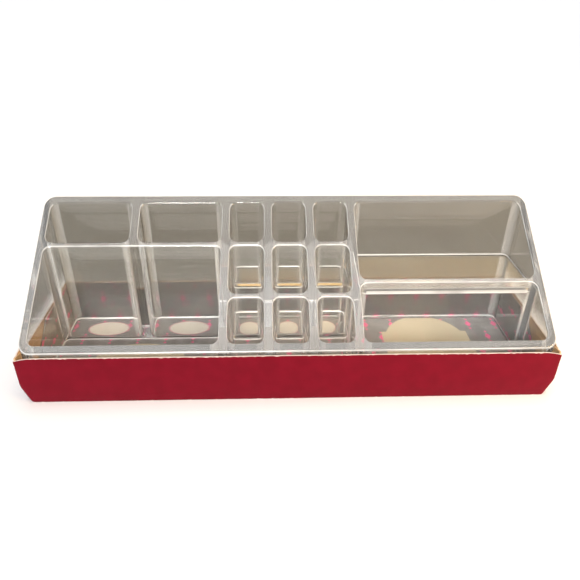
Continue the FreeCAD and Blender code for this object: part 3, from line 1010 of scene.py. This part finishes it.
def moulded_faces(box):
    """The plan of a compartment whose outer walls and long dividers are as thick as they look."""
    low, high = wall_faces(box)
    for corner, inward in ((low, 1), (high, -1)):
        for axis in (0, 1):
            to_outside = min(corner[axis] - tray_low[axis], tray_high[axis] - corner[axis])
            if to_outside < OUTER_WALL:
                corner[axis] += inward * WALL_GROWTH
            elif axis == 0:
                corner[axis] += inward * DIVIDER_GROWTH
    return low, high


shells = [skin()]
for box in cells.values():
    shells.append(cup(*moulded_faces(box), floor_level(box)))
for box in hollows.values():
    shells.append(hollow(*moulded_faces(box), top_level(box)))
print(len(shells), "shells")

# %% [markdown]
# One closed moulding. The real tray is a single shot of plastic. Boolean cuts could join the cups, but they
# leave slivers along the rounds. Here the shells share one mesh: their mouths are moved down to the rim's
# slope, and the rim and the underside are filled between them. The back walls of the right bin and of the
# front pockets are then divided where a raised floor meets them from behind, because light runs along that
# floor and comes out there.

# %% Join and close the shells
WELD = 0.001 * MM


def at_base(edge):
    """Whether an edge lies at the base of the tray."""
    return edge.verts[0].co.z <= tray_low.z + NEAR


bpy.ops.object.select_all(action="DESELECT")
for shell in shells:
    shell.select_set(True)
tray = shells[0]
bpy.context.view_layer.objects.active = tray
bpy.ops.object.join()
tray.name = "moulded_tray"
for vertex in tray.data.vertices:
    if vertex.co.z > FLAT_RIM - RIM_ROUND - NEAR:
        vertex.co.z += rim_height(vertex.co.y) - FLAT_RIM
bpy.ops.object.mode_set(mode="EDIT")
for low in (False, True):
    edges = pick(tray, lambda edge: edge.is_boundary and at_base(edge) == low, "EDGE")
    bpy.ops.mesh.fill(use_beauty=True)
    print("filled between", edges, "edges at the", "base" if low else "rim")
bpy.ops.mesh.select_all(action="SELECT")
bpy.ops.mesh.remove_doubles(threshold=WELD)
bpy.ops.mesh.normals_make_consistent(inside=False)

# %% Divide the walls and smooth the moulding
SOFT_EDGE = math.radians(50)
AREA_WEIGHT = 100

bin_back = wall_faces(cells["right_front_bin"])[1].y
shelf_top = floor_level(cells["right_shelf"])
shelf_under = top_level(hollows["hollow_under_shelf"])
pocket_back = wall_faces(cells["front_row_centre_pocket"])[1].y
step_top = floor_level(cells["middle_row_centre_pocket"])
step_under = top_level(hollows["hollow_under_middle_row_centre_pocket"])
wall_levels = [(bin_back, shelf_top), (bin_back, shelf_under), (pocket_back, step_top),
               (pocket_back, step_under)]

for wall, level in wall_levels:
    pick(tray, lambda face: all(abs(vert.co.y - wall) < NEAR for vert in face.verts), "FACE")
    bpy.ops.mesh.bisect(plane_co=(0, 0, level), plane_no=(0, 0, 1))
open_edges = pick(tray, lambda edge: not edge.is_manifold, "EDGE")
bpy.ops.object.mode_set(mode="OBJECT")
bpy.ops.object.shade_smooth_by_angle(angle=SOFT_EDGE)
even = tray.modifiers.new("even_normals", "WEIGHTED_NORMAL")
even.keep_sharp = True
even.weight = AREA_WEIGHT
bpy.ops.object.modifier_apply(modifier=even.name)
print("tray:", len(tray.data.polygons), "faces,", open_edges, "open edges")

# %% [markdown]
# Finishes by place. A moulding is clearest on its flat walls. Where the mould turns a corner, along the rim
# and round the floors, the light that the edges catch is painted as a milky paleness. One finish for the
# whole tray would hide its edges. Each face could be painted by hand, but here its place and direction
# choose its finish: painted highlight lines and bands along the rim and the floors, painted highlight bends
# in the corners, and clear walls and skin elsewhere.

# %% Finishes by place
LINE_DEPTHS = (0.2 * RIM_ROUND, 0.5 * RIM_ROUND)
LINE_SLANTS = (0.5, 0.9)
SIDEWAYS_TURN = 0.3
UPRIGHT_SLANT = 0.15
LEVEL_SLANT = 0.99

back_row_edge = wall_faces(cells["middle_row_centre_pocket"])[1].y + RIM_ROUND
pockets_left = wall_faces(cells["front_row_left_pocket"])[0].x
pockets_right = wall_faces(cells["front_row_right_pocket"])[1].x


def on_wall(places, wall, low, high):
    """Whether a face lies on the back wall of a compartment between two heights."""
    return all(abs(place.y - wall) < NEAR and low - NEAR < place.z < high + NEAR for place in places)


def rim_finish(face, depth):
    """The finish of a face on the rim: painted highlight lines along the edges, and a clearer painted
    highlight round the back row.
    """
    in_back_row = face.center.y > back_row_edge
    across = in_back_row and abs(face.normal.x) < SIDEWAYS_TURN
    # Painted highlight: pale lines along the rim's edges, fewer across the back row.
    if LINE_DEPTHS[0] < depth < LINE_DEPTHS[1] and not across:
        return LINE
    return BEND if in_back_row else RIM


def upright_finish(face, places):
    """The finish of an upright face: a painted highlight in round corners and where light comes out of a
    raised floor at a wall.
    """
    turn = max(abs(face.normal.x), abs(face.normal.y))
    # Round corners get a painted highlight, as bends or as rim.
    if turn < FLAT_TURN and face.material_index == WALL:
        return BEND if pockets_left < face.center.x < pockets_right else RIM
    # Where light comes out of the shelf's floor at the wall, a painted highlight line.
    if on_wall(places, bin_back, shelf_under, shelf_top):
        return LINE
    # The shelf's lip and the pockets' steps get the rim's painted highlight.
    on_lip = on_wall(places, bin_back, shelf_top, tray_high.z)
    on_step = on_wall(places, pocket_back, step_under, step_top)
    return RIM if on_lip or on_step else face.material_index


def finish_of(face):
    """Which finish a face of the tray has, by its place and direction."""
    places = [tray.data.vertices[index].co for index in face.vertices]
    depths = [rim_height(place.y) - place.z for place in places]
    if max(depths) < RIM_ROUND + NEAR:
        return rim_finish(face, sum(depths) / len(depths))
    slant = abs(face.normal.z)
    if slant < UPRIGHT_SLANT:
        return upright_finish(face, places)
    # Floor rounds: painted highlight lines and bends.
    if slant < LEVEL_SLANT:
        return LINE if LINE_SLANTS[0] < slant < LINE_SLANTS[1] else BEND
    return WALL


finishes = [finish_of(face) for face in tray.data.polygons]
for face, finish in zip(tray.data.polygons, finishes):
    face.material_index = finish
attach(tray, "tray")
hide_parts("clear_tray")
counts = {material.name: finishes.count(index) for index, material in enumerate(plastics)}
print("faces of each finish:", counts)
